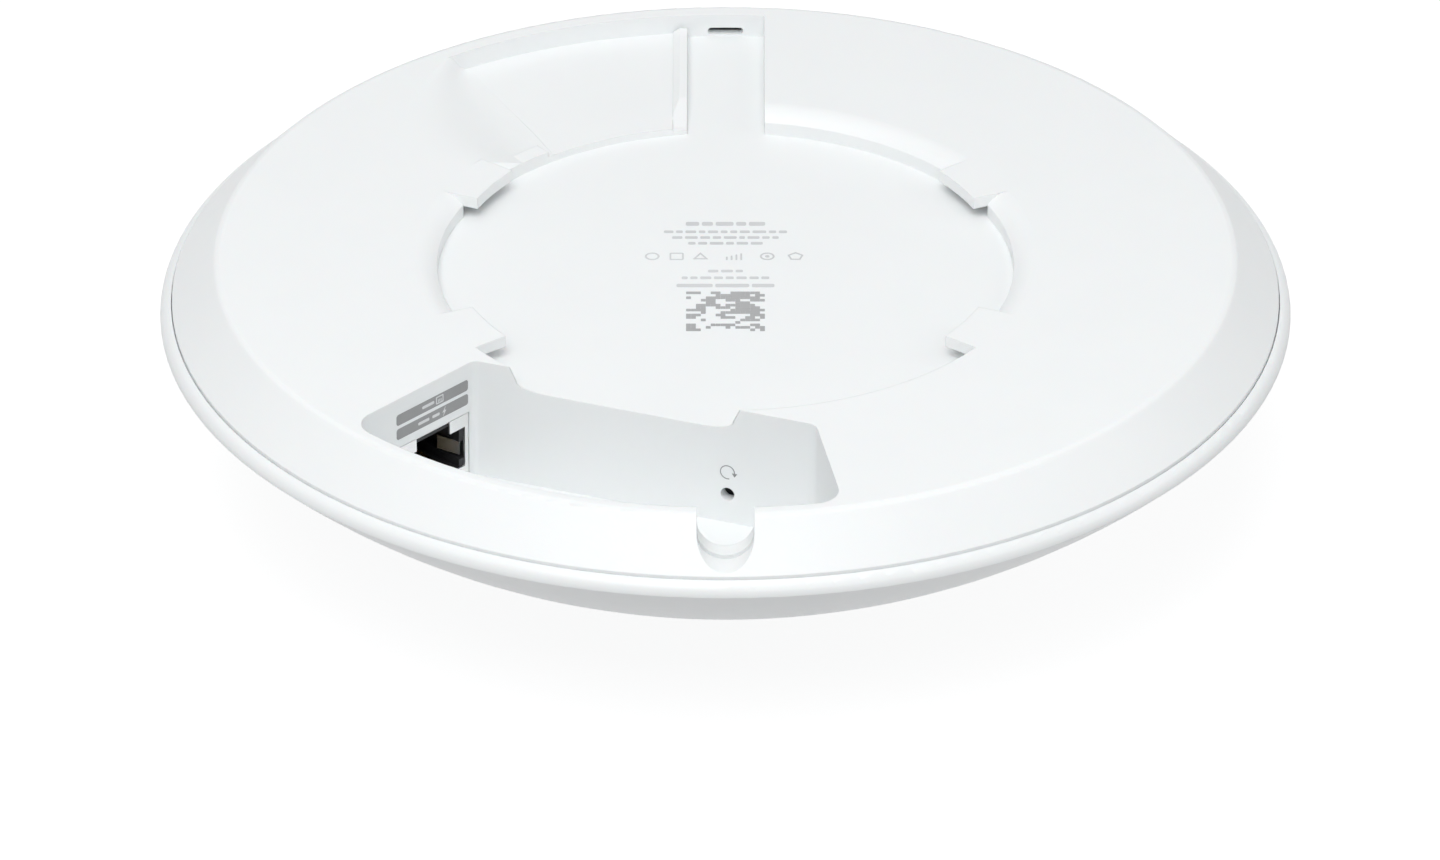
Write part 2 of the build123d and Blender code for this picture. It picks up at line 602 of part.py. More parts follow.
def bulk_capacitors():
    """Round aluminium capacitors with a crimped groove."""
    cans = []
    for spot in ((-57.0, -10.5), (-35.6, -6.2)):
        can = disc(CAPACITOR_R, BOARD_TOP_Z + CHIP_GAP, BOARD_TOP_Z + CAPACITOR_H, spot)
        crimp = disc(CAPACITOR_R + 1, BOARD_TOP_Z + 1.2, BOARD_TOP_Z + 1.8, spot)
        crimp -= disc(CAPACITOR_R - 0.3, BOARD_TOP_Z, BOARD_TOP_Z + 3, spot)
        cans.append(can - crimp)
    return cans


def rectifier_diodes():
    return [chip(-12.5 + index * 5.0, -33.5, 3.6, 2.6, 1.4) for index in range(4)]


# ---- heat spreader ----------------------------------------------------------------------
def pedestal_low():
    return BOARD_TOP_Z + CAN_H + THERMAL_PAD_T


def pedestal_block(box, low, high):
    x0, x1, y0, y1 = box
    inset = PEDESTAL_INSET
    return block(x0 + inset, x1 - inset, y0 + inset, y1 - inset, low, high)


def heat_spreader():
    plate = disc(SPREADER_R, SPREADER_BOTTOM_Z, SPREADER_TOP_Z)
    plate -= board_cutter(1.2, SPREADER_BOTTOM_Z - 1, SPREADER_TOP_Z + 1)
    half = JACK_W / 2 + 1.5
    plate -= on_plane(JACK_PLANE, -half - 20, half, -15, 0, -JACK_DEPTH - 1.5, 30)
    plate = plate.solids().sort_by(SortBy.VOLUME)[-1]
    for spot in SPREADER_SCREW_SPOTS:
        plate -= disc(SCREW_HOLE_R, SPREADER_BOTTOM_Z - 1, SPREADER_TOP_Z + 1, spot)
    for box in CAN_BOXES:
        plate += pedestal_block(box, pedestal_low(), SPREADER_BOTTOM_Z + 0.5)
    for spot in POST_SPOTS:
        plate += disc(POST_R, BOARD_TOP_Z + CHIP_GAP, SPREADER_BOTTOM_Z + 0.5, spot)
        plate -= disc(SCREW_R, BOARD_TOP_Z - 1, BOARD_TOP_Z + 7, spot)
    return plate


def thermal_pads():
    low = BOARD_TOP_Z + CAN_H + CHIP_GAP
    return [pedestal_block(box, low, pedestal_low() - CHIP_GAP) for box in CAN_BOXES]


def screw(spot, seat_z, length):
    """Pan-head screw driven upwards: its head hangs below the seat."""
    head = disc(SCREW_HEAD_R, seat_z - SCREW_HEAD_T, seat_z - CHIP_GAP, spot)
    recess = disc(SCREW_DRIVE_R, seat_z - SCREW_HEAD_T - 1, seat_z - SCREW_HEAD_T + 0.8, spot)
    shank = disc(SCREW_R - 0.05, seat_z - 0.5, seat_z + length, spot)
    return head + shank - recess


def insulation_sheet():
    """Thin film under the spreader, over the power section."""
    sheet = prism([(-62, -12), (-40, -20), (-20, -26), (-14, -8), (-18, 8), (-50, 6)],
                  SPREADER_BOTTOM_Z - 0.35, SPREADER_BOTTOM_Z - 0.05)
    half = JACK_W / 2 + 2.2
    sheet -= on_plane(JACK_PLANE, -half - 20, half, -15, 0, -JACK_DEPTH - 2.5, 30)
    sheet &= disc(SPREADER_R - 1, -20, 0)
    return sheet.solids().sort_by(SortBy.VOLUME)[-1]


# ---- antennas on the dome side of the board ---------------------------------------------
def sheet_antenna(width, height, arm, thickness=0.4):
    """Stamped antenna: a top plate on a feed leg and a shorting leg, standing on the board."""
    low = BOARD_BOTTOM_Z - height
    top = block(-width / 2, width / 2, 0, arm, low, low + thickness)
    slot = block(-width / 2 + 2, width / 2 - 2.5, arm * 0.4, arm * 0.4 + 1.2, low - 1, low + 1)
    legs = block(-width / 2, -width / 2 + 1.5, 0, thickness, low, BOARD_BOTTOM_Z - CHIP_GAP)
    legs += block(-width / 2 + 4.5, -width / 2 + 6, 0, thickness, low, BOARD_BOTTOM_Z - CHIP_GAP)
    return top + legs - slot


def placed_antennas(shape, radius, angles):
    return [Rot(0, 0, angle - 90) * Pos(0, radius, 0) * shape for angle in angles]


def low_band_antennas():
    return placed_antennas(sheet_antenna(26, 6.5, 8), 38, (15, 165, 90))


def high_band_antennas():
    return placed_antennas(sheet_antenna(14, 5.0, 6), 40, (52, 128, 338, 196))


def short_range_antenna():
    return placed_antennas(sheet_antenna(11, 3.5, 4), 38, (308,))


# ---- reset switch -----------------------------------------------------------------------
SWITCH_FRONT = -SWITCH_SET_BACK
SWITCH_BACK = SWITCH_FRONT - SWITCH_D
SWITCH_LOW_Z = RESET_Z - SWITCH_H / 2


def reset_switch_body():
    """Square housing, bored for the plunger, with a chamber for the snap dome."""
    half = SWITCH_W / 2
    body = on_plane(RESET_PLANE, -half, half, SWITCH_LOW_Z, SWITCH_LOW_Z + SWITCH_H, SWITCH_BACK,
                    SWITCH_FRONT)
    bore = RESET_PLANE * Pos(0, RESET_Z, SWITCH_FRONT) * Cylinder(BUTTON_R + BUTTON_CLEAR, 4)
    chamber = RESET_PLANE * Pos(0, RESET_Z, SWITCH_FRONT - 1.6) * Cylinder(COLLAR_R + 0.2, 1.6)
    return body - bore - chamber


def reset_switch_frame():
    """Steel clip that holds the housing upright, with two legs down to the board."""
    half = SWITCH_W / 2
    outside = half + CLIP_OUT
    plate = on_plane(RESET_PLANE, -outside, outside, SWITCH_LOW_Z, RESET_Z + SWITCH_H / 2,
                     SWITCH_BACK - CLIP_OUT, SWITCH_BACK - CLIP_GAP)
    for sign in (-1, 1):
        low, high = sorted((sign * (half + CLIP_GAP), sign * outside))
        plate += on_plane(RESET_PLANE, low, high, BOARD_TOP_Z + CHIP_GAP, RESET_Z + 1, SWITCH_BACK - CLIP_OUT,
                          SWITCH_FRONT - 0.6)
    return plate


def reset_switch_dome():
    """Snap dome that returns the button."""
    return RESET_PLANE * Pos(0, RESET_Z, SWITCH_FRONT - 2.15) * Cylinder(COLLAR_R, 0.3)


def reset_switch_pins():
    pins = []
    for x in (-1.8, 1.8):
        pins.append(on_plane(RESET_PLANE, x - 0.3, x + 0.3, BOARD_TOP_Z + CHIP_GAP, SWITCH_LOW_Z - 0.03,
                             SWITCH_BACK + 0.8, SWITCH_BACK + 1.2))
    return pins


def reset_button():
    """Plunger: a stem towards the pinhole and a collar that keeps it in the housing."""
    stem = RESET_PLANE * Pos(0, RESET_Z, SWITCH_FRONT + 0.2) * Cylinder(BUTTON_R, 2.6)
    collar = RESET_PLANE * Pos(0, RESET_Z, SWITCH_FRONT - 1.25) * Cylinder(COLLAR_R, 0.5)
    return stem + collar


NODES = {
    "rear_cover": rear_cover,
    "front_cover": front_cover,
    "light_ring": light_ring,
    "light_guide": light_guide,
    "status_leds": status_leds,
    "jack_shell": jack_shell,
    "jack_insert": jack_insert,
    "jack_contacts": jack_contacts,
    "jack_shield_springs": jack_shield_springs,
    "main_board": main_board,
    "shield_cans": shield_cans,
    "main_processor": main_processor,
    "radio_chips": radio_chips,
    "radio_frontends": radio_frontends,
    "memory_chips": memory_chips,
    "flash_chip": lambda: chip(-24, -30.5, 6, 5, 1.6),
    "network_chip": lambda: chip(14.0, -18.0, 9, 9, 1.0),
    "power_controller": lambda: chip(-8.0, -20.0, 5, 5, 1.0),
    "clock_crystals": clock_crystals,
    "chip_capacitors": chip_capacitors,
    "poe_transformer": poe_transformer,
    "lan_transformer": lan_transformer,
    "power_inductors": power_inductors,
    "bulk_capacitors": bulk_capacitors,
    "rectifier_diodes": rectifier_diodes,
    "heat_spreader": heat_spreader,
    "thermal_pads": thermal_pads,
    "spreader_screws": lambda: [screw(spot, SPREADER_BOTTOM_Z, 6.0) for spot in SPREADER_SCREW_SPOTS],
    "board_screws": lambda: [screw(spot, BOARD_BOTTOM_Z, 6.5) for spot in POST_SPOTS],
    "insulation_sheet": insulation_sheet,
    "low_band_antennas": low_band_antennas,
    "high_band_antennas": high_band_antennas,
    "short_range_antenna": short_range_antenna,
    "reset_switch_body": reset_switch_body,
    "reset_switch_frame": reset_switch_frame,
    "reset_switch_dome": reset_switch_dome,
    "reset_switch_pins": reset_switch_pins,
    "reset_button": reset_button,
}


def main():
    os.makedirs("parts", exist_ok=True)
    for name, make in NODES.items():
        shape = make()
        solids = shape if isinstance(shape, list) else list(shape.solids())
        solids = [solid for piece in solids for solid in piece.solids()]
        export_step(Compound(children=solids) if len(solids) > 1 else solids[0], f"parts/{name}.step")
        print(name, len(solids), round(sum(solid.volume for solid in solids), 1))


main()
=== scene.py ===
import json
import math
import random

import bmesh
import bpy
from mathutils import Matrix, Vector


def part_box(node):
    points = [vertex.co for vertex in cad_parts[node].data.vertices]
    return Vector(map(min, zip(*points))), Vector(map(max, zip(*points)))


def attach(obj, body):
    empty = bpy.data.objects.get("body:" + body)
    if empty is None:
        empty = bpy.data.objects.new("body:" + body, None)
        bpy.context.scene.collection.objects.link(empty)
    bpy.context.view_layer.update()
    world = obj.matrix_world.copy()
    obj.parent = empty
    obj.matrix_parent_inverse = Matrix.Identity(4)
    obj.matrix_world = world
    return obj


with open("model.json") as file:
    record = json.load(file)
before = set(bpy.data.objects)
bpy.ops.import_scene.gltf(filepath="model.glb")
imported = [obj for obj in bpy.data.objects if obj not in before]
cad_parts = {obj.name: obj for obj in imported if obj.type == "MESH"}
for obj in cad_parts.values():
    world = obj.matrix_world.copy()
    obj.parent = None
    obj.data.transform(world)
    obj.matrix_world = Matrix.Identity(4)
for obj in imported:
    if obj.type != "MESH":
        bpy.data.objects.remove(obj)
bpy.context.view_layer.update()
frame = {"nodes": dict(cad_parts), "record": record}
MM = 0.001

# ---- places read from the frame ----------------------------------------------------------
MOUNTS = {mount["name"]: mount for mount in frame["record"]["mounts"]}
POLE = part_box("front_cover")[0].z
JACK_OUT = Vector(MOUNTS["ethernet_jack"]["axis"]).normalized()
JACK_SPOT = Vector(MOUNTS["ethernet_jack"]["pos_m"])
RESET_OUT = Vector(MOUNTS["reset_pinhole"]["axis"]).normalized()
RESET_SPOT = Vector(MOUNTS["reset_pinhole"]["pos_m"])
UP = Vector((0, 0, 1))


# ---- materials ---------------------------------------------------------------------------
def new_material(name):
    """Material with its Principled shader, and helpers to wire nodes."""
    material = bpy.data.materials.new(name)
    material.use_nodes = True
    return material, material.node_tree, material.node_tree.nodes["Principled BSDF"]


def add_node(tree, kind, **inputs):
    node = tree.nodes.new(kind)
    for key, value in inputs.items():
        node.inputs[key.replace("_", " ")].default_value = value
    return node


def object_coords(tree):
    return tree.nodes.new("ShaderNodeTexCoord").outputs["Object"]


def noise(tree, scale, detail=4.0, roughness=0.55):
    """3-D noise in metres of the object's own frame."""
    node = add_node(tree, "ShaderNodeTexNoise", Scale=scale, Detail=detail, Roughness=roughness)
    tree.links.new(object_coords(tree), node.inputs["Vector"])
    return node.outputs["Fac"]


def spread(tree, source, low, high, out_low, out_high):
    """Map a factor to a range of values."""
    node = tree.nodes.new("ShaderNodeMapRange")
    for key, value in (("From Min", low), ("From Max", high), ("To Min", out_low), ("To Max", out_high)):
        node.inputs[key].default_value = value
    tree.links.new(source, node.inputs["Value"])
    return node.outputs["Result"]


def two_tone(tree, source, low_colour, high_colour, low=0.35, high=0.65):
    """Colour that drifts between two tones with a factor."""
    ramp = tree.nodes.new("ShaderNodeValToRGB")
    ramp.color_ramp.elements[0].position = low
    ramp.color_ramp.elements[0].color = (*low_colour, 1)
    ramp.color_ramp.elements[1].position = high
    ramp.color_ramp.elements[1].color = (*high_colour, 1)
    tree.links.new(source, ramp.inputs["Fac"])
    return ramp.outputs["Color"]


def bump(tree, shader, source, distance, strength=1.0, edge_mm=0.0):
    """Surface grain, on top of softly rounded edges where edge_mm is given."""
    node = add_node(tree, "ShaderNodeBump", Strength=strength, Distance=distance)
    tree.links.new(source, node.inputs["Height"])
    if edge_mm:
        rounded = add_node(tree, "ShaderNodeBevel", Radius=edge_mm * MM)
        rounded.samples = 6
        tree.links.new(rounded.outputs["Normal"], node.inputs["Normal"])
    tree.links.new(node.outputs["Normal"], shader.inputs["Normal"])


def moulded(name, low_colour, high_colour, roughness, grain_mm, grain_depth_mm, edge_mm=0.0, **sockets):
    """Moulded plastic: slow tone drift, fine spark-eroded grain and uneven gloss."""
    material, tree, shader = new_material(name)
    drift = noise(tree, 60.0, 3.0)
    tree.links.new(two_tone(tree, drift, low_colour, high_colour), shader.inputs["Base Color"])
    gloss = spread(tree, noise(tree, 420.0, 5.0), 0.3, 0.7, roughness * 0.88, roughness * 1.12)
    tree.links.new(gloss, shader.inputs["Roughness"])
    bump(tree, shader, noise(tree, 1000.0 / grain_mm, 3.0, 0.6), grain_depth_mm * MM, edge_mm=edge_mm)
    for key, value in sockets.items():
        shader.inputs[key.replace("_", " ")].default_value = value
    return material


def metal(name, low_colour, high_colour, roughness, streak=(1, 1, 1), grain_mm=0.4, depth_mm=0.01):
    """Metal with drawn or cast grain: streak stretches the noise along an axis."""
    material, tree, shader = new_material(name)
    mapping = tree.nodes.new("ShaderNodeMapping")
    mapping.inputs["Scale"].default_value = streak
    tree.links.new(object_coords(tree), mapping.inputs["Vector"])
    grain = add_node(tree, "ShaderNodeTexNoise", Scale=1000.0 / grain_mm, Detail=4.0, Roughness=0.6)
    tree.links.new(mapping.outputs["Vector"], grain.inputs["Vector"])
    tree.links.new(two_tone(tree, grain.outputs["Fac"], low_colour, high_colour), shader.inputs["Base Color"])
    tree.links.new(spread(tree, grain.outputs["Fac"], 0.3, 0.7, roughness * 0.8, roughness * 1.25),
                   shader.inputs["Roughness"])
    bump(tree, shader, grain.outputs["Fac"], depth_mm * MM, 0.6)
    shader.inputs["Metallic"].default_value = 1.0
    return material


def white_plastic():
    return moulded("white_plastic", (0.845, 0.864, 0.868), (0.853, 0.871, 0.875), 0.46, 0.35, 0.012, 0.22,
                   Subsurface_Weight=0.06, Subsurface_Scale=0.0015)


def dome_plastic():
    return moulded("dome_plastic", (0.845, 0.864, 0.868), (0.853, 0.871, 0.875), 0.40, 0.5, 0.006, 0.15,
                   Subsurface_Weight=0.06, Subsurface_Scale=0.0015)


def board_material():
    """Solder mask over copper: faint traces as a stepped pattern under the gloss."""
    material, tree, shader = new_material("board")
    tracks = add_node(tree, "ShaderNodeTexBrick", Scale=160.0)
    tracks.offset = 0.37
    tracks.squash = 2.3
    tracks.inputs["Color1"].default_value = (0.018, 0.075, 0.052, 1)
    tracks.inputs["Color2"].default_value = (0.026, 0.105, 0.072, 1)
    tracks.inputs["Mortar"].default_value = (0.012, 0.050, 0.036, 1)
    tracks.inputs["Mortar Size"].default_value = 0.03
    tree.links.new(object_coords(tree), tracks.inputs["Vector"])
    tree.links.new(tracks.outputs["Color"], shader.inputs["Base Color"])
    tree.links.new(spread(tree, noise(tree, 500.0), 0.3, 0.7, 0.28, 0.4), shader.inputs["Roughness"])
    bump(tree, shader, tracks.outputs["Fac"], 0.03 * MM, 0.5)
    return material


def clear_plastic():
    material, tree, shader = new_material("clear_plastic")
    tree.links.new(two_tone(tree, noise(tree, 300.0), (0.90, 0.93, 0.95), (0.96, 0.97, 0.98)),
                   shader.inputs["Base Color"])
    tree.links.new(spread(tree, noise(tree, 900.0), 0.3, 0.7, 0.06, 0.16), shader.inputs["Roughness"])
    shader.inputs["Transmission Weight"].default_value = 0.85
    shader.inputs["IOR"].default_value = 1.49
    bump(tree, shader, noise(tree, 1500.0), 0.01 * MM, 0.4)
    return material


def make_materials():
    """One procedural material per slot of the record."""
    return {
        "white_plastic": white_plastic(),
        "dome_plastic": dome_plastic(),
        "diffuser": moulded("diffuser", (0.80, 0.84, 0.88), (0.85, 0.885, 0.92), 0.30, 0.6, 0.004,
                            Subsurface_Weight=0.3, Subsurface_Scale=0.002),
        "clear_plastic": clear_plastic(),
        "led_package": moulded("led_package", (0.86, 0.74, 0.30), (0.92, 0.86, 0.55), 0.25, 0.2, 0.005),
        "plated_steel": metal("plated_steel", (0.86, 0.855, 0.85), (0.94, 0.935, 0.93), 0.36, (1, 1, 9),
                              0.8, 0.004),
        "gold_contact": metal("gold_contact", (0.78, 0.56, 0.22), (0.93, 0.74, 0.36), 0.2, (1, 1, 6),
                              0.5, 0.004),
        "black_plastic": moulded("black_plastic", (0.010, 0.010, 0.011), (0.018, 0.018, 0.020), 0.5, 0.25,
                                 0.02),
        "board": board_material(),
        "chip_package": moulded("chip_package", (0.020, 0.020, 0.022), (0.038, 0.038, 0.042), 0.55, 0.15,
                                0.02),
        "ceramic": moulded("ceramic", (0.42, 0.31, 0.20), (0.56, 0.44, 0.31), 0.4, 0.2, 0.01),
        "ferrite": moulded("ferrite", (0.045, 0.045, 0.05), (0.085, 0.083, 0.085), 0.7, 0.3, 0.03),
        "capacitor_can": metal("capacitor_can", (0.72, 0.73, 0.75), (0.86, 0.87, 0.88), 0.3, (1, 1, 7),
                               0.6, 0.006),
        "cast_aluminium": metal("cast_aluminium", (0.55, 0.56, 0.58), (0.70, 0.71, 0.73), 0.5, (1, 1, 1),
                                0.6, 0.05),
        "thermal_pad": moulded("thermal_pad", (0.40, 0.47, 0.55), (0.50, 0.56, 0.63), 0.8, 0.5, 0.04),
        "screw_steel": metal("screw_steel", (0.62, 0.61, 0.59), (0.80, 0.79, 0.77), 0.32, (1, 1, 1),
                             0.3, 0.01),
        "film": moulded("film", (0.035, 0.035, 0.038), (0.06, 0.06, 0.064), 0.22, 1.2, 0.01),
        "antenna_metal": metal("antenna_metal", (0.74, 0.73, 0.70), (0.88, 0.87, 0.84), 0.3, (6, 1, 1),
                               0.5, 0.006),
        "button_plastic": moulded("button_plastic", (0.05, 0.05, 0.055), (0.085, 0.085, 0.09), 0.45, 0.25,
                                  0.01),
    }


def print_ink(name, low_colour, high_colour):
    """Pad-printed ink: thin, slightly uneven and a little glossier than the plastic."""
    return moulded(name, low_colour, high_colour, 0.4, 0.12, 0.004)


MATERIALS = make_materials()
SLOT_OF = {part["node"]: part["material_slot"] for part in frame["record"]["subparts"]}
for node_name, node_object in frame["nodes"].items():
    material = MATERIALS[SLOT_OF[node_name]]
    node_object.data.materials.clear()
    node_object.data.materials.append(material)


# ---- print on the back -------------------------------------------------------------------
INK_THICK = 0.03 * MM
GREY_INK = print_ink("grey_ink", (0.58, 0.59, 0.60), (0.64, 0.65, 0.66))
CODE_INK = print_ink("code_ink", (0.37, 0.375, 0.38), (0.43, 0.435, 0.44))
BAR_INK = print_ink("bar_ink", (0.28, 0.282, 0.285), (0.31, 0.312, 0.315))
WHITE_INK = print_ink("white_ink", (0.62, 0.63, 0.64), (0.70, 0.71, 0.72))


def mesh_piece(name, bm, material):
    """Turn a bmesh into a printed piece that rides on the housing."""
    mesh = bpy.data.meshes.new(name)
    bmesh.ops.recalc_face_normals(bm, faces=bm.faces)
    bm.to_mesh(mesh)
    bm.free()
    piece = bpy.data.objects.new(name, mesh)
    bpy.context.scene.collection.objects.link(piece)
    mesh.materials.append(material)
    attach(piece, "housing")


def slab(bm, outline, to_world, thickness=INK_THICK):
    """Thin solid over a flat outline given as (x, y) points in mm."""
    low = [bm.verts.new(to_world @ Vector((x * MM, y * MM, 0))) for x, y in outline]
    high = [bm.verts.new(to_world @ Vector((x * MM, y * MM, thickness))) for x, y in outline]
    bm.faces.new(list(reversed(low)))
    bm.faces.new(high)
    count = len(outline)
    for index in range(count):
        after = (index + 1) % count
        bm.faces.new((low[index], low[after], high[after], high[index]))


def band(bm, outer, inner, to_world, thickness=INK_THICK):
    """Thin closed ring between two outlines with the same number of points."""
    loops = []
    for outline, height in ((outer, 0), (outer, thickness), (inner, thickness), (inner, 0)):
        loops.append([bm.verts.new(to_world @ Vector((x * MM, y * MM, height))) for x, y in outline])
    count = len(outer)
    for first, second in ((0, 1), (1, 2), (2, 3), (3, 0)):
        for index in range(count):
            after = (index + 1) % count
            near, far = loops[first], loops[second]
            bm.faces.new((near[index], near[after], far[after], far[index]))


def rounded_bar(width, height, radius, centre=(0, 0), steps=6):
    """Outline of a rectangle with rounded corners."""
    points = []
    for corner, (sx, sy) in enumerate(((1, 1), (-1, 1), (-1, -1), (1, -1))):
        cx = centre[0] + sx * (width / 2 - radius)
        cy = centre[1] + sy * (height / 2 - radius)
        for step in range(steps + 1):
            angle = math.radians(90 * corner + 90 * step / steps)
            points.append((cx + radius * math.cos(angle), cy + radius * math.sin(angle)))
    return points


def polygon_points(sides, radius, centre, start):
    """Outline of a regular polygon, its first corner at the start angle."""
    points = []
    for side in range(sides):
        angle = math.radians(start + 360 * side / sides)
        points.append((centre[0] + radius * math.cos(angle), centre[1] + radius * math.sin(angle)))
    return points


def ring_points(radius, centre, steps=28):
    return polygon_points(steps, radius, centre, 0)


def arc_band(bm, radius, width, start, sweep, centre, to_world, steps=28):
    """Thin stroke along an arc."""
    outer, inner = [], []
    for step in range(steps + 1):
        angle = math.radians(start + sweep * step / steps)
        for reach, side in ((radius + width / 2, outer), (radius - width / 2, inner)):
            side.append((centre[0] + reach * math.cos(angle), centre[1] + reach * math.sin(angle)))
    slab(bm, outer + inner[::-1], to_world)


def wall_frame(spot, out, z):
    """Frame on a wall: x along it as seen from outside, y up, z out of it."""
    z_axis = out.normalized()
    x_axis = UP.cross(z_axis).normalized()
    matrix = Matrix((x_axis, UP, z_axis)).transposed().to_4x4()
    matrix.translation = Vector((spot.x, spot.y, z))
    return matrix


# Plain bars stand for lines of print, with no wording or codes.
RECESS_FLOOR = -3.8 * MM
FLOOR_FRAME = Matrix.Translation((0, 0, RECESS_FLOOR + 0.01 * MM))
PRINT_SEED = 7
LINE_GAP = 0.42
PRINT_ROWS = (          # centre y, half length, stroke height, blocks in the row
    (15.9, 6.2, 1.15, 5),
    (13.4, 9.6, 0.75, 11),
    (11.6, 8.3, 0.75, 9),
    (9.8, 5.8, 0.75, 6),
    (1.1, 2.7, 0.75, 3),
    (-1.0, 6.8, 0.75, 8),
    (-3.4, 7.6, 1.0, 3),
)
CODE_SIZE = 12.2
CODE_CELLS = 16
CODE_CENTRE_Y = -11.4
CODE_SEED = 41
CODE_FILL = 0.52          # share of the runs that are inked
SYMBOL_ROW_Y = 5.7


def print_lines():
    """Rows of blank dashes where the rating text stands."""
    rng = random.Random(PRINT_SEED)
    bm = bmesh.new()
    for centre_y, half, height, blocks in PRINT_ROWS:
        weights = [rng.uniform(0.6, 1.5) for _ in range(blocks)]
        usable = 2 * half - LINE_GAP * (blocks - 1)
        left = -half
        for weight in weights:
            length = usable * weight / sum(weights)
            dash = rounded_bar(length, height, height * 0.28, (left + length / 2, centre_y), 3)
            slab(bm, dash, FLOOR_FRAME)
            left += length + LINE_GAP
    mesh_piece("rating_print_lines", bm, GREY_INK)


def print_symbols():
    """Row of plain symbols: ring, square, triangle, bars, ringed dot and pentagon."""
    bm = bmesh.new()
    row_y = SYMBOL_ROW_Y
    ring, square, triangle, dot, pentagon = [(x, row_y) for x in (-11.4, -7.6, -3.9, 6.5, 10.9)]
    triangle = (triangle[0], row_y - 0.2)
    band(bm, ring_points(1.15, ring), ring_points(0.85, ring), FLOOR_FRAME)
    band(bm, rounded_bar(2.2, 2.2, 0.3, square), rounded_bar(1.7, 1.7, 0.15, square), FLOOR_FRAME)
    band(bm, polygon_points(3, 1.4, triangle, 90), polygon_points(3, 0.85, triangle, 90), FLOOR_FRAME)
    for index in range(4):
        centre = (0.2 + index * 0.75, row_y - 0.65 + 0.17 * index)
        slab(bm, rounded_bar(0.28, 1.0 + 0.35 * index, 0.1, centre, 3), FLOOR_FRAME)
    band(bm, ring_points(1.15, dot), ring_points(0.85, dot), FLOOR_FRAME)
    slab(bm, ring_points(0.35, dot), FLOOR_FRAME)
    band(bm, polygon_points(5, 1.3, pentagon, 90), polygon_points(5, 0.95, pentagon, 90), FLOOR_FRAME)
    mesh_piece("rating_print_symbols", bm, GREY_INK)


def print_patch():
    """Square patch of seeded blocks, which encodes nothing."""
    rng = random.Random(CODE_SEED)
    bm = bmesh.new()
    cell = CODE_SIZE / CODE_CELLS
    for row in range(CODE_CELLS):
        column = 0
        while column < CODE_CELLS:
            run = rng.choice((1, 1, 2, 3))
            run = min(run, CODE_CELLS - column)
            if rng.random() < CODE_FILL:
                x = -CODE_SIZE / 2 + (column + run / 2) * cell
                y = CODE_CENTRE_Y - CODE_SIZE / 2 + (row + 0.5) * cell
                slab(bm, rounded_bar(run * cell - 0.02, cell - 0.02, 0.05, (x, y), 1), FLOOR_FRAME)
            column += run
    mesh_piece("rating_print_patch", bm, CODE_INK)


# ---- label bars over the jack and the reset symbol ---------------------------------------
BAR_LENGTH = 15.5
BAR_HEIGHT = 1.9
BAR_CENTRES_Z = (-3.72, -6.22)
BAR_SHIFT = -0.25         # the bars' middle, along the wall from the jack's middle
LABEL_GAP = 0.004 * MM    # print's underside, out from the wall
RESET_SYMBOL_Z = -11.4
BAY_WALL_HALF = 0.9       # from the middle of the bay's back wall to its face


def jack_labels():
    """Two grey bars above the jack, with plain symbols in place of wording."""
    spot = JACK_SPOT + UP.cross(JACK_OUT) * BAR_SHIFT * MM
    for index, centre_z in enumerate(BAR_CENTRES_Z):
        bm = bmesh.new()
        to_world = wall_frame(spot + JACK_OUT * LABEL_GAP, JACK_OUT, centre_z * MM)
        slab(bm, rounded_bar(BAR_LENGTH, BAR_HEIGHT, 0.45), to_world)
        mesh_piece(f"jack_label_bar_{index + 1}", bm, BAR_INK)
    bm = bmesh.new()
    bar_face = spot + JACK_OUT * (INK_THICK + LABEL_GAP)
    on_bar = wall_frame(bar_face, JACK_OUT, BAR_CENTRES_Z[0] * MM)
    band(bm, rounded_bar(1.6, 1.3, 0.15, (1.6, 0)), rounded_bar(1.25, 0.95, 0.08, (1.6, 0)), on_bar)
    for x in (1.3, 1.6, 1.9):
        slab(bm, rounded_bar(0.13, 0.5, 0.04, (x, -0.15), 2), on_bar)
    slab(bm, rounded_bar(2.6, 0.5, 0.2, (-0.9, 0)), on_bar)
    below = wall_frame(bar_face, JACK_OUT, BAR_CENTRES_Z[1] * MM)
    bolt = [(2.85, 0.8), (2.15, -0.13), (2.52, -0.13), (2.3, -0.8), (3.0, 0.13), (2.63, 0.13)]
    slab(bm, bolt, below)
    for x, length in ((-1.9, 2.4), (0.75, 1.6)):
        slab(bm, rounded_bar(length, 0.5, 0.2, (x, 0)), below)
    mesh_piece("jack_label_symbols", bm, WHITE_INK)


def reset_symbol():
    """Open circular arrow above the pinhole."""
    bm = bmesh.new()
    wall_spot = RESET_SPOT + RESET_OUT * BAY_WALL_HALF * MM
    to_world = wall_frame(wall_spot + RESET_OUT * LABEL_GAP, RESET_OUT, RESET_SYMBOL_Z * MM)
    arc_band(bm, 1.15, 0.15, -5, 290, (0, 0), to_world)
    slab(bm, [(1.15, -0.72), (1.6, -0.05), (0.72, -0.05)], to_world)
    mesh_piece("reset_symbol", bm, BAR_INK)


print_lines()
print_symbols()
print_patch()
jack_labels()
reset_symbol()


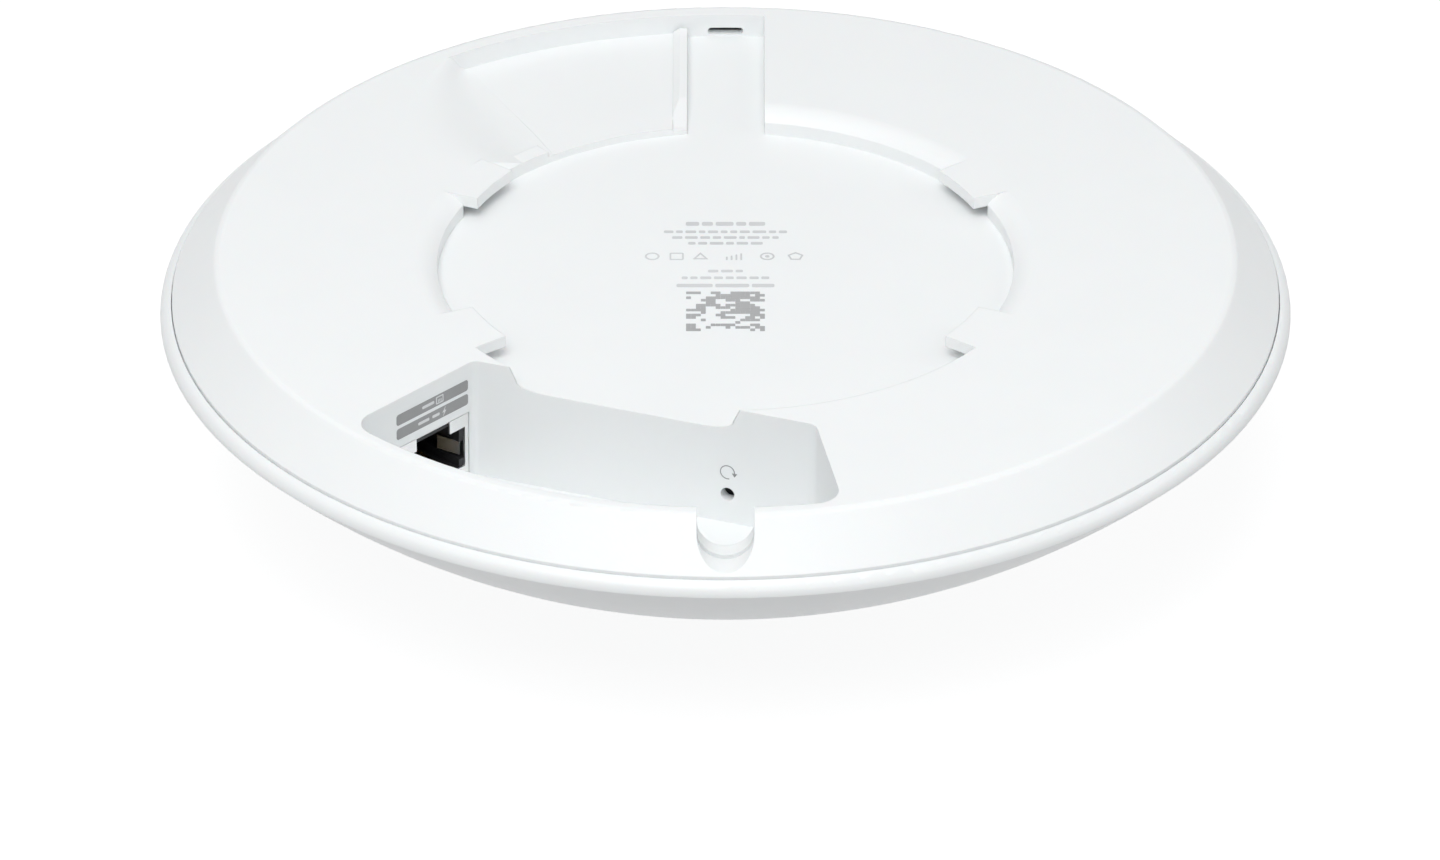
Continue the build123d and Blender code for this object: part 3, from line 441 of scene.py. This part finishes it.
# ---- floor, light and camera -------------------------------------------------------------
def floor():
    """Large light table under the dome's pole: pale, and softly lit from within."""
    bpy.ops.mesh.primitive_plane_add(size=30, location=(0, 0, POLE))
    plane = bpy.context.object
    plane.name = "floor"
    material, tree, shader = new_material("floor_white")
    tree.links.new(two_tone(tree, noise(tree, 3.0), (0.27, 0.27, 0.27), (0.28, 0.28, 0.28)),
                   shader.inputs["Base Color"])
    shader.inputs["Roughness"].default_value = 0.6
    shader.inputs["Emission Color"].default_value = (1.0, 1.0, 1.0, 1)
    shader.inputs["Emission Strength"].default_value = 0.80
    plane.data.materials.append(material)
    plane.visible_diffuse = False


def area_light(name, place, size, power):
    """Square light aimed at the object's origin."""
    data = bpy.data.lights.new(name, "AREA")
    data.energy = power
    data.size = size
    light = bpy.data.objects.new(name, data)
    light.location = place
    light.rotation_euler = (-Vector(place)).to_track_quat("-Z", "Y").to_euler()
    bpy.context.scene.collection.objects.link(light)


def lights():
    """Broad soft box high in front and a weak one on each side, over even surroundings."""
    area_light("front", (-0.12, -0.62, 1.0), 0.8, 8.75)
    area_light("right", (1.3, -0.1, 0.8), 0.9, 2.3)
    area_light("left", (-1.3, -0.1, 0.8), 0.9, 1.2)
    area_light("overhead", (-0.2, 0.5, 1.7), 1.2, 2.0)
    world = bpy.data.worlds.new("studio")
    world.use_nodes = True
    background = world.node_tree.nodes["Background"]
    background.inputs["Color"].default_value = (0.985, 0.992, 1.0, 1)
    background.inputs["Strength"].default_value = 0.49
    bpy.context.scene.world = world
    bpy.context.scene.view_settings.view_transform = "Standard"


ELEVATION = math.radians(30.0)
DISTANCE = 2.64
LENS_MM = 424.5
SENSOR_MM = 36.0
SHIFT_X = -0.0038
SHIFT_Y = -0.0854
AIM = Vector((0, 0, -9.6 * MM))
FAR_CLIP = 60.0


def camera():
    """Long lens from in front, 30 degrees up, with the aim point off centre by a small shift."""
    data = bpy.data.cameras.new("camera")
    data.sensor_width = SENSOR_MM
    data.lens = LENS_MM
    data.shift_x = SHIFT_X
    data.shift_y = SHIFT_Y
    data.clip_end = FAR_CLIP
    eye = bpy.data.objects.new("camera", data)
    away = Vector((0, -math.cos(ELEVATION), math.sin(ELEVATION)))
    eye.location = AIM + away * DISTANCE
    eye.rotation_euler = (-away).to_track_quat("-Z", "Y").to_euler()
    bpy.context.scene.collection.objects.link(eye)
    bpy.context.scene.camera = eye


floor()
lights()
camera()
